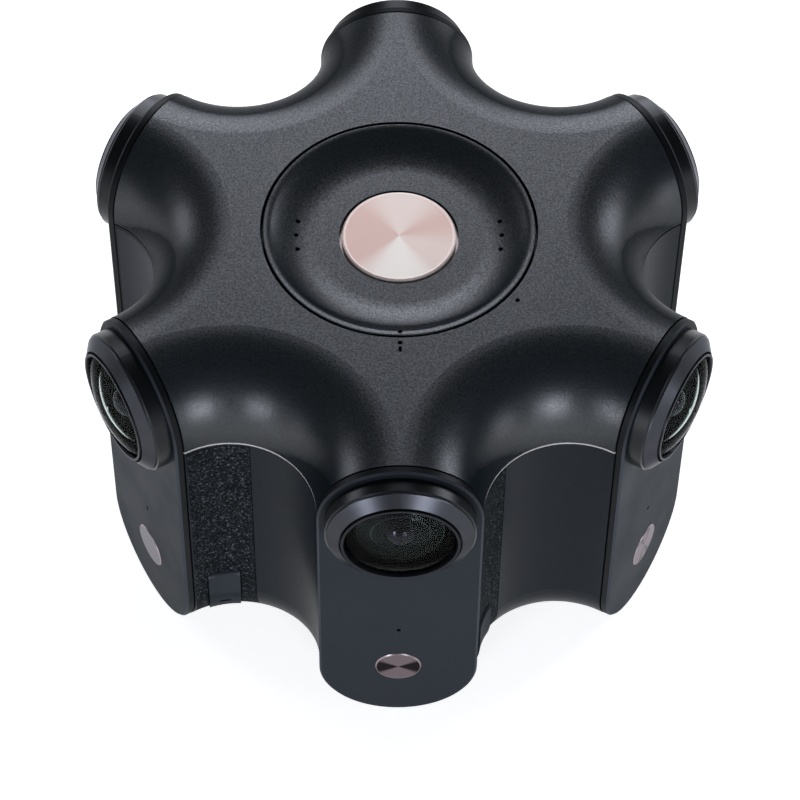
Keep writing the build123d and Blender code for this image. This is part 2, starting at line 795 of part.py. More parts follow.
# Power button: round cap with a hidden flange that keeps it in the dish, and a stem
with BuildPart() as power_button:
    with BuildSketch(Plane.XY.offset(button_bottom)):
        Circle(button_flange_radius)
    extrude(amount=button_flange_thickness)
    with BuildSketch(Plane.XY.offset(button_bottom)):
        Circle(button_radius)
    extrude(amount=button_top - button_bottom)
    chamfer(power_button.edges().group_by(Axis.Z)[-1], button_chamfer)
    with BuildSketch(Plane.XY.offset(button_bottom)):
        Circle(stem_radius)
    extrude(amount=-stem_length)
save(power_button.part, "power_button")

# Bottom cover with ventilation slots, openings for the sockets and posts for the port board
with BuildPart() as bottom_cover:
    with BuildSketch(Plane.XY.offset(body_bottom)):
        Circle(cover_radius - cover_gap)
        Circle(tripod_body_radius, mode=Mode.SUBTRACT)
        with Locations((0, ethernet_offset_depth)):
            Rectangle(ethernet_length + 2 * port_clearance, ethernet_width + 2 * port_clearance,
                      mode=Mode.SUBTRACT)
        with Locations(side_port_spots[0]):
            SlotOverall(usb_length + 2 * port_clearance, usb_width + 2 * port_clearance,
                        mode=Mode.SUBTRACT)
        with Locations(side_port_spots[1]):
            Circle(inlet_radius + port_clearance, mode=Mode.SUBTRACT)
        with PolarLocations(screw_circle_radius, screw_count, start_angle=screw_start_angle):
            Circle(screw_radius, mode=Mode.SUBTRACT)
        for sector in grille_sectors:
            first = sector - grille_step_angle * (grille_slots - 1) / 2
            grille_middle = (grille_inner_radius + grille_outer_radius) / 2
            with PolarLocations(grille_middle, grille_slots, start_angle=first,
                                angular_range=grille_step_angle * grille_slots):
                SlotOverall(grille_outer_radius - grille_inner_radius, grille_width, mode=Mode.SUBTRACT)
    extrude(amount=cover_thickness)
    with BuildSketch(Plane.XY.offset(body_bottom)):
        with PolarLocations(screw_circle_radius, screw_count, start_angle=screw_start_angle):
            Circle(screw_head_radius)
    extrude(amount=screw_head_height, mode=Mode.SUBTRACT)
    with BuildSketch(Plane.XY.offset(body_bottom + cover_thickness)):
        with PolarLocations(standoff_circle_radius, standoff_count, start_angle=standoff_start_angle):
            Circle(standoff_radius)
    extrude(amount=port_board_height - cover_thickness)
    with BuildSketch(Plane.XY.offset(port_board_bottom)):
        with PolarLocations(standoff_circle_radius, standoff_count, start_angle=standoff_start_angle):
            Circle(standoff_pin_radius)
    extrude(amount=board_thickness)
save(bottom_cover.part, "bottom_cover")

# Screws that hold the bottom cover
with BuildPart() as cover_screws:
    with BuildSketch(Plane.XY.offset(body_bottom)):
        with PolarLocations(screw_circle_radius, screw_count, start_angle=screw_start_angle):
            Circle(screw_head_radius)
    extrude(amount=screw_head_height)
    with BuildSketch(Plane.XY.offset(body_bottom + screw_head_height)):
        with PolarLocations(screw_circle_radius, screw_count, start_angle=screw_start_angle):
            Circle(screw_radius)
    extrude(amount=screw_length)
    with BuildSketch(Plane.XY.offset(body_bottom)):
        with PolarLocations(screw_circle_radius, screw_count, start_angle=screw_start_angle):
            RegularPolygon(screw_drive_radius, 6)
    extrude(amount=screw_drive_depth, mode=Mode.SUBTRACT)
save(cover_screws.part, "cover_screws")

# Rubber feet
with BuildPart() as rubber_feet:
    with BuildSketch():
        with PolarLocations(foot_circle_radius, LOBE_COUNT, start_angle=FRONT_ANGLE):
            Circle(foot_radius)
    extrude(amount=foot_height + foot_depth)
    chamfer(rubber_feet.edges().group_by(Axis.Z)[0], foot_chamfer)
save(rubber_feet.part, "rubber_feet")

# Tripod socket: threaded insert with a flange that bears on the inside of the cover
with BuildPart() as tripod_socket:
    with BuildSketch(Plane.XY.offset(body_bottom)):
        Circle(tripod_body_radius)
    extrude(amount=tripod_body_length)
    with BuildSketch(Plane.XY.offset(body_bottom + cover_thickness)):
        Circle(tripod_flange_radius)
    extrude(amount=tripod_flange_thickness)
    with BuildSketch(Plane.XY.offset(body_bottom)):
        Circle(tripod_hole_radius)
    extrude(amount=tripod_hole_depth, mode=Mode.SUBTRACT)
    mouth = tripod_socket.edges().group_by(Axis.Z)[0].sort_by(SortBy.RADIUS)[0]
    chamfer(mouth, tripod_mouth_chamfer)
save(tripod_socket.part, "tripod_socket")

# Port board on the cover's posts, and the three sockets that hang from it
with BuildPart() as port_board:
    with BuildSketch(Plane.XY.offset(port_board_bottom)):
        Circle(port_board_radius)
        with PolarLocations(standoff_circle_radius, standoff_count, start_angle=standoff_start_angle):
            Circle(standoff_pin_radius, mode=Mode.SUBTRACT)
    extrude(amount=board_thickness)
save(port_board.part, "port_board")

with BuildPart() as ethernet_port:
    with BuildSketch(Plane.XY.offset(body_bottom)):
        with Locations((0, ethernet_offset_depth)):
            Rectangle(ethernet_length, ethernet_width)
    extrude(amount=port_board_height)
    with BuildSketch(Plane.XY.offset(body_bottom)):
        with Locations((0, ethernet_offset_depth)):
            Rectangle(ethernet_mouth_length, ethernet_mouth_width)
    extrude(amount=ethernet_mouth_depth, mode=Mode.SUBTRACT)
save(ethernet_port.part, "ethernet_port")

with BuildPart() as usb_port:
    with BuildSketch(Plane.XY.offset(body_bottom)):
        with Locations(side_port_spots[0]):
            SlotOverall(usb_length, usb_width)
    extrude(amount=port_board_height)
    with BuildSketch(Plane.XY.offset(body_bottom)):
        with Locations(side_port_spots[0]):
            SlotOverall(usb_length - 2 * usb_wall_thickness, usb_width - 2 * usb_wall_thickness)
    extrude(amount=usb_mouth_depth, mode=Mode.SUBTRACT)
    with BuildSketch(Plane.XY.offset(body_bottom + usb_wall_thickness)):
        with Locations(side_port_spots[0]):
            Rectangle(usb_tongue_length, usb_tongue_width)
    extrude(amount=usb_mouth_depth)
save(usb_port.part, "usb_port")

with BuildPart() as power_inlet:
    with BuildSketch(Plane.XY.offset(body_bottom)):
        with Locations(side_port_spots[1]):
            Circle(inlet_radius)
    extrude(amount=port_board_height)
    with BuildSketch(Plane.XY.offset(body_bottom)):
        with Locations(side_port_spots[1]):
            Circle(inlet_bore_radius)
            Circle(inlet_pin_radius, mode=Mode.SUBTRACT)
    extrude(amount=inlet_mouth_depth, mode=Mode.SUBTRACT)
save(power_inlet.part, "power_inlet")

# Fan frame: square with a round duct, struts and the shaft for the rotor
with BuildPart() as fan_frame:
    with BuildSketch(Plane.XY.offset(fan_bottom_height)):
        RectangleRounded(fan_width, fan_width, fan_corner_radius)
        Circle(fan_bore_radius, mode=Mode.SUBTRACT)
        with GridLocations(2 * fan_hole_offset, 2 * fan_hole_offset, 2, 2):
            Circle(fan_hole_radius, mode=Mode.SUBTRACT)
    extrude(amount=fan_height)
    with BuildSketch(Plane.XY.offset(fan_bottom_height)):
        Circle(fan_plate_radius)
        with PolarLocations(fan_bore_radius / 2, fan_struts):
            Rectangle(fan_bore_radius, fan_strut_width)
    extrude(amount=fan_plate_thickness)
    with BuildSketch(Plane.XY.offset(fan_bottom_height + fan_plate_thickness)):
        Circle(fan_shaft_radius)
    extrude(amount=fan_height - fan_plate_thickness - rotor_gap)
save(fan_frame.part, "fan_frame")

# Fan rotor: cup-shaped hub with slanted blades
rotor_bottom = fan_bottom_height + fan_plate_thickness + rotor_gap
rotor_height = fan_height - fan_plate_thickness - 2 * rotor_gap
with BuildPart() as fan_rotor:
    with BuildSketch(Plane.XY.offset(rotor_bottom)):
        Circle(hub_radius)
    extrude(amount=rotor_height)
    with BuildSketch(Plane.XY.offset(rotor_bottom)):
        Circle(hub_radius - hub_wall_thickness)
        Circle(hub_boss_radius, mode=Mode.SUBTRACT)
    extrude(amount=rotor_height - hub_wall_thickness, mode=Mode.SUBTRACT)
    for blade in range(blade_count):
        angle = 360 / blade_count * blade
        root = outward(angle) * (hub_radius - hub_wall_thickness / 2)
        centre = root + Vector(0, 0, rotor_bottom + rotor_height / 2)
        with BuildSketch(Plane(origin=centre, x_dir=outward(angle + 90), z_dir=outward(angle))):
            Rectangle(blade_chord_width, blade_thickness, rotation=blade_pitch_angle)
        extrude(amount=blade_radius - hub_radius)
    with BuildSketch(Plane.XY.offset(rotor_bottom)):
        Circle(fan_shaft_radius + fan_shaft_clearance)
    extrude(amount=rotor_height, mode=Mode.SUBTRACT)
save(fan_rotor.part, "fan_rotor")

# Heat sink: round base with fins that stand on the fan
with BuildPart() as heat_sink:
    with BuildSketch(Plane.XY.offset(sink_base_bottom)):
        Circle(sink_radius)
    extrude(amount=sink_base_thickness)
    with BuildSketch(Plane.XY.offset(fan_top)):
        Circle(sink_radius)
        with GridLocations(sink_fin_pitch, 2 * sink_radius, sink_fin_count, 1):
            Rectangle(sink_fin_thickness, 2 * sink_radius, mode=Mode.INTERSECT)
    extrude(amount=sink_fin_height)
save(heat_sink.part, "heat_sink")

# Main board with its processor
with BuildPart() as main_board:
    with BuildSketch(Plane.XY.offset(main_board_bottom)):
        Circle(main_board_radius)
    extrude(amount=board_thickness)
    with BuildSketch(Plane.XY.offset(main_board_top)):
        Rectangle(chip_width, chip_width)
    extrude(amount=chip_height)
save(main_board.part, "main_board")
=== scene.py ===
import json
import math

import bpy
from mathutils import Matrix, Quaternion, Vector


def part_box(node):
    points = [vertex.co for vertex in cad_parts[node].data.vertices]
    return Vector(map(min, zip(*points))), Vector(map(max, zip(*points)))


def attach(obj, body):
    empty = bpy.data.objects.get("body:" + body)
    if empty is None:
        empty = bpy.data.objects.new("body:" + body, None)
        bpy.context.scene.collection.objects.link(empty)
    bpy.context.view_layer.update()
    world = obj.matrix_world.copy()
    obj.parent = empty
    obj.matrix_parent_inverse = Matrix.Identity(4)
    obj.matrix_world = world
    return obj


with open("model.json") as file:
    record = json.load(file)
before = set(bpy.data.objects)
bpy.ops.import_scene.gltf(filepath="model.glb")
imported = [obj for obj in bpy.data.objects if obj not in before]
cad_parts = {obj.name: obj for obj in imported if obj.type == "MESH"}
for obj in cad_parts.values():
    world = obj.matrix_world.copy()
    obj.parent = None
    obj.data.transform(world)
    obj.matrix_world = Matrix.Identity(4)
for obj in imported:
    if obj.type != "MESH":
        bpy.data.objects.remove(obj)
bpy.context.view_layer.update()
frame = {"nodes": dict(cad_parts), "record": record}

LOBE_COUNT = 6
FRONT_ANGLE = -90.0
MM = 0.001
UP = Vector((0, 0, 1))

# Viewpoint: fitted to the outline, the lens rings and the dish
camera_elevation = math.radians(53.712)
camera_turn = math.radians(1.035)
camera_roll = math.radians(0.819)
camera_distance = 947.6 * MM
camera_lens = 149.75
camera_sensor = 36.0
camera_near = 50 * MM
aim_height = 37.9 * MM
aim_side = 0.894 * MM

# Places taken from the solids
barrel_low, barrel_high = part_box("lens_barrel_1")
glass_low, glass_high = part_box("front_glass_1")
shell_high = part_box("lower_shell")[1]
disc_low, disc_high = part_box("face_discs")
element_low, element_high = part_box("inner_elements")
lens_height = (barrel_low[2] + barrel_high[2]) / 2
lens_centre = Vector((0, 0, lens_height))
glass_radius = (glass_high[0] - glass_low[0]) / 2
parting_height = shell_high[2]
disc_centre = Vector((0, 0, (disc_low[2] + disc_high[2]) / 2))
disc_radius = (disc_high[2] - disc_low[2]) / 2
element_radius = (element_high[2] - element_low[2]) / 2
element_front = -element_low[1]

# Painted and turned detail; some of it places painted highlights, painted shade and painted reflections
seam_chamfer = 0.6 * MM
seam_highlight_fades_from = -20 * MM
lip_start = glass_radius + 1.3 * MM
lip_end = glass_radius + 1.5 * MM
bore_start = glass_radius + 0.2 * MM
bore_end = glass_radius + 0.4 * MM
button_rim_highlight_start = 14.2 * MM
button_rim_highlight_end = 14.6 * MM
lathe_pitch = 0.45 * MM
element_ring_reflection_width = 0.5 * MM

# Core lenses behind the front glasses
core_radius = 5.2 * MM
core_half_angle = math.radians(58)
core_sink = 0.4 * MM
core_rows = 12
core_sides = 64

# Floor and light; the glow is the white that camera, mirror and glass rays see on top of the lit paint
floor_size = 8.0
floor_glow = 0.76
world_level = 0.08
lamp_colour = (0.85, 0.89, 1.0)
lamp_target = Vector((0, 0, 0.1))

# Soft boxes: name, turn and rise in degrees, distance, width, height, how bright the face is
SOFT_BOXES = (
    ("light_rear", 90, 28, 1.8, 0.72, 1.45, 6.3),
    ("light_rear_left", 148, 14, 1.2, 0.3, 0.4, 6.0),
    ("light_rear_right", 34, 16, 1.2, 0.32, 0.45, 9.0),
    ("light_left", 205, 4, 1.2, 0.25, 0.4, 2.0),
    ("light_right", 335, 4, 1.2, 0.3, 0.4, 4.5),
    ("light_front_left", 240, 7, 1.2, 0.23, 0.42, 16.0),
    ("light_front_right", 290, 7, 1.2, 0.28, 0.42, 20.0),
)


def outward(index):
    """Level direction of a lobe, counted from the front one."""
    angle = math.radians(FRONT_ANGLE + 360 / LOBE_COUNT * index)
    return Vector((math.cos(angle), math.sin(angle), 0))


def linear(r, g, b):
    """Display colour from 0 to 255 turned into the linear values that shaders use."""
    values = []
    for part in (r, g, b):
        share = part / 255
        values.append(share / 12.92 if share <= 0.04045 else ((share + 0.055) / 1.055) ** 2.4)
    return (*values, 1.0)


class Surface:
    """A node material with short helpers for its detail."""

    def __init__(self, name, colour, roughness, metallic=0.0, specular=0.5):
        self.material = bpy.data.materials.new(name)
        self.material.use_nodes = True
        self.tree = self.material.node_tree
        self.shader = self.tree.nodes["Principled BSDF"]
        self.colour = colour
        self.varied = None
        self.roughness = roughness
        self.set("Base Color", colour)
        self.set("Roughness", roughness)
        self.set("Metallic", metallic)
        self.set("Specular IOR Level", specular)
        self.height = None
        self.coords = self.tree.nodes.new("ShaderNodeTexCoord").outputs["Object"]
        self.normal = self.tree.nodes.new("ShaderNodeNewGeometry").outputs["True Normal"]

    def set(self, socket, value):
        self.shader.inputs[socket].default_value = value

    def link(self, a, b):
        self.tree.links.new(a, b)

    def feed(self, socket, value):
        self.link(value, self.shader.inputs[socket])

    def put(self, socket, value):
        """Writes a number, colour or vector on a socket, or links another node's value to it."""
        if isinstance(value, (int, float)):
            socket.default_value = value
        elif isinstance(value, (tuple, Vector)):
            socket.default_value = tuple(value)
        else:
            self.link(value, socket)

    def noise(self, size, detail=3.0, rough=0.6):
        """Noise whose grain is about `size` metres across."""
        node = self.tree.nodes.new("ShaderNodeTexNoise")
        node.inputs["Scale"].default_value = 1 / size
        node.inputs["Detail"].default_value = detail
        node.inputs["Roughness"].default_value = rough
        self.link(self.coords, node.inputs["Vector"])
        return node.outputs["Fac"]

    def spread(self, value, low, high, out_low=0.0, out_high=1.0, kind="LINEAR"):
        """A value mapped from one range to another and held at its ends."""
        node = self.tree.nodes.new("ShaderNodeMapRange")
        node.interpolation_type = kind
        node.inputs["From Min"].default_value = low
        node.inputs["From Max"].default_value = high
        node.inputs["To Min"].default_value = out_low
        node.inputs["To Max"].default_value = out_high
        self.link(value, node.inputs["Value"])
        return node.outputs["Result"]

    def band(self, value, start, full, fade, end):
        """Share that rises from `start` to `full` and falls from `fade` to `end`."""
        rising = self.spread(value, start, full)
        falling = self.spread(value, fade, end, 1.0, 0.0)
        return self.maths("MULTIPLY", rising, falling)

    def maths(self, kind, a, b=0.0):
        node = self.tree.nodes.new("ShaderNodeMath")
        node.operation = kind
        self.put(node.inputs[0], a)
        self.put(node.inputs[1], b)
        return node.outputs["Value"]

    def vector(self, kind, a, b=None):
        """Vector sum; gives the number for a dot product or a length, and else the vector."""
        node = self.tree.nodes.new("ShaderNodeVectorMath")
        node.operation = kind
        self.put(node.inputs[0], a)
        if b is not None:
            self.put(node.inputs[1], b)
        return node.outputs["Value"] if kind in ("DOT_PRODUCT", "LENGTH") else node.outputs["Vector"]

    def scaled(self, vector, number):
        node = self.tree.nodes.new("ShaderNodeVectorMath")
        node.operation = "SCALE"
        self.put(node.inputs[0], vector)
        self.put(node.inputs["Scale"], number)
        return node.outputs["Vector"]

    def part_of(self, vector, letter):
        node = self.tree.nodes.new("ShaderNodeSeparateXYZ")
        self.link(vector, node.inputs[0])
        return node.outputs[letter]

    def height_above_floor(self):
        return self.part_of(self.coords, "Z")

    def rings(self, distance, pitch):
        """Fine rings about an axis, from the distance to it."""
        return self.spread(self.maths("SINE", self.maths("MULTIPLY", distance, math.tau / pitch)), -1.0, 1.0)

    def from_lens_axis(self, index):
        """Distance to the lens axis of a lobe."""
        axis = outward(index)
        offset = self.vector("SUBTRACT", self.coords, lens_centre)
        along = self.vector("DOT_PRODUCT", offset, axis)
        return self.vector("LENGTH", self.vector("SUBTRACT", offset, self.scaled(axis, along)))

    def from_nearest_lens_axis(self):
        """Distance to the nearest lens axis; opposite lenses share one line."""
        nearest = self.from_lens_axis(0)
        for index in range(1, LOBE_COUNT // 2):
            nearest = self.maths("MINIMUM", nearest, self.from_lens_axis(index))
        return nearest

    def thin_ring(self, distance, radius, width):
        """Share of a thin ring at a radius, from the distance to its axis."""
        gap = self.maths("ABSOLUTE", self.maths("SUBTRACT", distance, radius))
        return self.spread(gap, width / 4, width / 2, 1.0, 0.0)

    def blend_colour(self, value, first, second):
        node = self.tree.nodes.new("ShaderNodeMix")
        node.data_type = "RGBA"
        self.link(value, node.inputs["Factor"])
        self.put(node.inputs[6], first)
        self.put(node.inputs[7], second)
        return node.outputs[2]

    def vary_colour(self, value, amount):
        """Base colour that varies by a share of itself with a pattern."""
        dark = tuple(c * (1 - amount) for c in self.colour[:3]) + (1.0,)
        light = tuple(min(1.0, c * (1 + amount)) for c in self.colour[:3]) + (1.0,)
        self.varied = self.blend_colour(value, dark, light)
        self.feed("Base Color", self.varied)

    def vary_roughness(self, value, amount):
        least = max(0.02, self.roughness - amount)
        self.feed("Roughness", self.spread(value, 0.3, 0.7, least, self.roughness + amount))

    def matt_from_aside(self, level, first=0.3, last=0.5):
        """Sheen that fades where matt paint is seen at a low angle."""
        node = self.tree.nodes.new("ShaderNodeLayerWeight")
        fade = self.spread(node.outputs["Facing"], first, last, level, 0.02)
        self.feed("Specular IOR Level", fade)
        return fade

    def bump(self, value, depth, strength=1.0):
        node = self.tree.nodes.new("ShaderNodeBump")
        node.inputs["Distance"].default_value = depth
        node.inputs["Strength"].default_value = strength
        self.link(value, node.inputs["Height"])
        if self.height is not None:
            self.link(self.height, node.inputs["Normal"])
        self.height = node.outputs["Normal"]
        self.feed("Normal", self.height)


def grained(name, colour, roughness, grain=0.35 * MM, depth=0.03 * MM, specular=0.5, metallic=0.0):
    """Moulded, painted or machined surface with a fine grain."""
    surface = Surface(name, colour, roughness, metallic, specular)
    fine = surface.noise(grain, 4.0, 0.7)
    broad = surface.noise(20 * MM, 2.0)
    surface.vary_colour(fine, 0.16)
    surface.vary_roughness(broad, 0.04)
    surface.bump(fine, depth, 0.5)
    return surface


def powder(name, colour, level, sheen, fade, depth):
    """Powder paint: fine pimples with their own glints, which are calmer where the surface slopes."""
    surface = Surface(name, colour, 0.4, 0.0, level)
    pimples = surface.noise(0.6 * MM, 4.0, 0.7)
    surface.vary_colour(surface.spread(pimples, 0.35, 0.65), 0.2)
    glint = surface.noise(0.55 * MM, 3.0, 0.8)
    surface.feed("Roughness", surface.spread(glint, 0.35, 0.65, *sheen))
    surface.bump(pimples, depth, 0.6)
    calm = surface.spread(surface.part_of(surface.normal, "Z"), 0.75, 0.97, 0.3, 1.0)
    fleck = surface.spread(surface.noise(0.5 * MM, 2.0, 0.6), 0.38, 0.62, -0.4, 0.4)
    flecks = surface.maths("ADD", surface.maths("MULTIPLY", fleck, calm), 1.0)
    facing = surface.matt_from_aside(level, *fade)
    surface.feed("Specular IOR Level", surface.maths("MULTIPLY", facing, flecks))
    return surface


def upper_paint(name):
    """Matt black with a fine sparkle, on the top shell and the dish."""
    return powder(name, linear(18, 24, 28), 0.5, (0.3, 0.4), (0.3, 0.55), 0.07 * MM)


def lower_paint():
    """Duller black, with a painted highlight on the line along the parting in front and painted shade on it
    behind.
    """
    surface = powder("shell_low_paint", linear(20, 25, 30), 0.06, (0.34, 0.42), (0.8, 1.0), 0.015 * MM)
    line_low = parting_height - seam_chamfer * 1.05
    line_full = parting_height - seam_chamfer * 0.9
    above = surface.spread(surface.height_above_floor(), line_low, line_full)
    # Painted highlight on the parting line in front, fading to painted shade behind
    in_front = surface.spread(surface.part_of(surface.coords, "Y"), seam_highlight_fades_from, 0.0, 1.0, 0.0)
    seam_highlight_and_shade = surface.blend_colour(in_front, linear(6, 7, 9), linear(214, 209, 206))
    surface.feed("Base Color", surface.blend_colour(above, surface.varied, seam_highlight_and_shade))
    return surface


def plate_paint(index):
    """Smooth paint, with a painted highlight along the plate's chamfers, painted shade on its sides and a
    painted shadow behind the collar's top.
    """
    name = "plate_paint_" + str(index + 1)
    surface = grained(name, linear(28, 34, 40), 0.42, 0.3 * MM, 0.005 * MM, 0.1)
    surface.matt_from_aside(0.1, 0.35, 0.8)
    # Painted shadow on the face behind the collar's top
    arch_shadow = surface.spread(surface.height_above_floor(), lens_height - 4 * MM, lens_height + 6 * MM)
    face = surface.blend_colour(arch_shadow, surface.varied, linear(20, 24, 28))
    # Painted highlight on the chamfers, painted shade on the plate's sides, and a dimmer painted highlight
    # in the painted shadow
    across = surface.vector("DOT_PRODUCT", surface.normal, outward(index))
    edge_highlight = surface.band(across, 0.3, 0.5, 0.85, 0.95)
    side = surface.spread(across, 0.2, 0.4, 1.0, 0.0)
    shaded = surface.blend_colour(side, face, linear(12, 14, 16))
    edge_highlight_colour = surface.blend_colour(arch_shadow, linear(50, 54, 61), linear(34, 38, 43))
    surface.feed("Base Color", surface.blend_colour(edge_highlight, shaded, edge_highlight_colour))
    return surface


def collar_paint(index):
    """Satin black collar that is matt black inside."""
    name = "collar_paint_" + str(index + 1)
    surface = grained(name, linear(11, 13, 16), 0.33, 0.4 * MM, 0.003 * MM)
    inside = surface.spread(surface.from_lens_axis(index), bore_start, bore_end, 1.0, 0.0)
    surface.feed("Base Color", surface.blend_colour(inside, surface.varied, linear(7, 8, 9)))
    surface.feed("Specular IOR Level", surface.spread(inside, 0.0, 1.0, 0.22, 0.05))
    surface.feed("Roughness", surface.spread(inside, 0.0, 1.0, 0.33, 0.55))
    return surface


def bezel_metal():
    """Satin ring with painted shade where it faces down, and a darker inner lip."""
    surface = grained("bezel_metal", linear(56, 57, 61), 0.3, 0.3 * MM, 0.004 * MM, metallic=0.65)
    surface.set("Specular Tint", (0.4, 0.41, 0.44, 1.0))
    # Painted shade where the ring faces down
    facing_down_shade = surface.spread(surface.part_of(surface.normal, "Z"), -0.25, 0.08, 1.0, 0.0)
    cone = surface.blend_colour(facing_down_shade, surface.varied, linear(20, 22, 25))
    lip = surface.spread(surface.from_nearest_lens_axis(), lip_start, lip_end, 1.0, 0.0)
    surface.feed("Base Color", surface.blend_colour(lip, cone, linear(34, 35, 38)))
    return surface


def door_paint():
    surface = grained("door_paint", linear(38, 43, 48), 0.5, 0.3 * MM, 0.005 * MM, 0.3)
    surface.matt_from_aside(0.3)
    return surface


def smooth_panel_paint():
    return grained("smooth_panel_paint", linear(36, 39, 46), 0.5, 0.4 * MM, 0.01 * MM, 0.1)


def mesh_fabric():
    """Black open grain with painted shade in its hollows and small painted glints."""
    surface = Surface("mesh_fabric", linear(22, 24, 27), 0.7, 0.0, 0.05)
    grain = surface.noise(0.9 * MM, 4.0, 0.75)
    # Painted glints on fine strands and painted shade in the hollows of the grain
    thread_glints = surface.spread(surface.noise(0.7 * MM, 3.0, 0.8), 0.56, 0.68)
    pit_shade = surface.spread(grain, 0.42, 0.58)
    ground = surface.blend_colour(pit_shade, linear(2, 4, 5), linear(24, 29, 32))
    surface.feed("Base Color", surface.blend_colour(thread_glints, ground, linear(108, 114, 117)))
    surface.bump(grain, 0.6 * MM, 0.8)
    return surface


def fan(surface, direction, light_turns, softness):
    """Share of light on a spun face, high where the direction from its middle is near a light turn."""
    beams = []
    for turn, strength in light_turns:
        angle = math.radians(turn)
        pointing = surface.vector("DOT_PRODUCT", direction, (math.cos(angle), math.sin(angle), 0.0))
        beams.append(surface.spread(pointing, 1 - softness, 1.0, 0.0, strength, "SMOOTHSTEP"))
    total = beams[0]
    for beam in beams[1:]:
        total = surface.maths("MAXIMUM", total, beam)
    return total


def button_metal():
    """Pale rose metal turned on a lathe, with painted sheen in a fan of lighter sectors and a painted
    highlight round its border.
    """
    surface = Surface("button_metal", linear(222, 204, 199), 0.42, 0.35, 0.5)
    offset = surface.vector("MULTIPLY", surface.coords, (1.0, 1.0, 0.0))
    reach = surface.vector("LENGTH", offset)
    # Painted sheen in a fan of lighter sectors
    light_turns = ((85, 0.55), (-90, 1.0), (-40, 0.45))
    light = fan(surface, surface.vector("NORMALIZE", offset), light_turns, 0.45)
    painted_sheen_sectors = surface.blend_colour(light, linear(217, 184, 170), linear(242, 235, 223))
    grooves = surface.spread(surface.rings(reach, lathe_pitch), 0.0, 1.0, 0.0, 0.22)
    face = surface.blend_colour(grooves, painted_sheen_sectors, linear(196, 164, 152))
    # Painted highlight round the outer border
    rim_highlight = surface.spread(reach, button_rim_highlight_start, button_rim_highlight_end, 0.0, 0.75)
    surface.feed("Base Color", surface.blend_colour(rim_highlight, face, linear(250, 232, 222)))
    return surface


def disc_metal():
    """Spun metal with painted reflections: a dark bow tie in front, two dark streak reflections on the
    right, a tone of its own on the left, and a painted highlight round its border.
    """
    surface = Surface("disc_metal", linear(140, 130, 134), 0.3, 1.0, 0.5)
    surface.set("Specular Tint", (0.8, 0.78, 0.8, 1.0))
    axis = surface.normal
    along = surface.vector("DOT_PRODUCT", surface.coords, axis)
    flat = surface.vector("SUBTRACT", surface.coords, surface.scaled(axis, along))
    spoke = surface.vector("SUBTRACT", flat, disc_centre)
    upright = surface.maths("ABSOLUTE", surface.part_of(surface.vector("NORMALIZE", spoke), "Z"))
    to_right = surface.part_of(axis, "X")
    # Painted reflections: a dark bow tie in front, dark streak reflections on the right and another tone on
    # the left
    in_front = surface.spread(surface.maths("ABSOLUTE", to_right), 0.3, 0.5, 1.0, 0.0)
    bow_tie_reflection = surface.maths("MULTIPLY", surface.spread(upright, 0.38, 0.62, 1.0, 0.0), in_front)
    on_right = surface.spread(to_right, 0.4, 0.6)
    streak_reflections = surface.maths("MULTIPLY", surface.band(upright, 0.8, 0.88, 0.95, 0.99), on_right)
    painted_dark_reflection = surface.maths("MAXIMUM", bow_tie_reflection, streak_reflections)
    on_left = surface.spread(to_right, -0.5, -0.3, 1.0, 0.0)
    reflection_tone_by_side = surface.blend_colour(on_left, linear(108, 96, 99), linear(96, 96, 101))
    spun = surface.blend_colour(painted_dark_reflection, reflection_tone_by_side, linear(5, 2, 3))
    # Painted highlight round the outer border
    rim_highlight = surface.spread(surface.vector("LENGTH", spoke), disc_radius * 0.92, disc_radius * 0.95)
    surface.feed("Base Color", surface.blend_colour(rim_highlight, spun, linear(150, 138, 140)))
    return surface


def lens_glass():
    """Weakly mirroring front glass, weaker still where it is seen from aside."""
    surface = Surface("lens_glass", (0.48, 0.55, 0.52, 1.0), 0.02, 0.0, 0.5)
    surface.set("Transmission Weight", 1.0)
    view = surface.tree.nodes.new("ShaderNodeLayerWeight")
    surface.feed("IOR", surface.spread(view.outputs["Facing"], 0.2, 0.6, 1.14, 1.03))
    return surface


def coated_glass():
    """Dark green inner element with two fine painted ring reflections."""
    surface = Surface("coated_glass", linear(7, 12, 11), 0.25, 0.0, 0.2)
    surface.set("Specular Tint", (0.6, 0.4, 0.75, 1.0))
    distance = surface.from_nearest_lens_axis()
    # Painted reflections: two thin light rings about the lens axis
    inner = surface.thin_ring(distance, element_radius * 0.62, element_ring_reflection_width)
    outer = surface.thin_ring(distance, element_radius * 0.9, element_ring_reflection_width)
    ring_reflections = surface.maths("MAXIMUM", inner, outer)
    surface.feed("Base Color", surface.blend_colour(ring_reflections, surface.colour, linear(52, 60, 58)))
    return surface


def core_glass():
    surface = Surface("core_glass", linear(8, 12, 9), 0.06, 0.0, 0.6)
    surface.set("Specular Tint", (0.9, 0.6, 1.0, 1.0))
    return surface


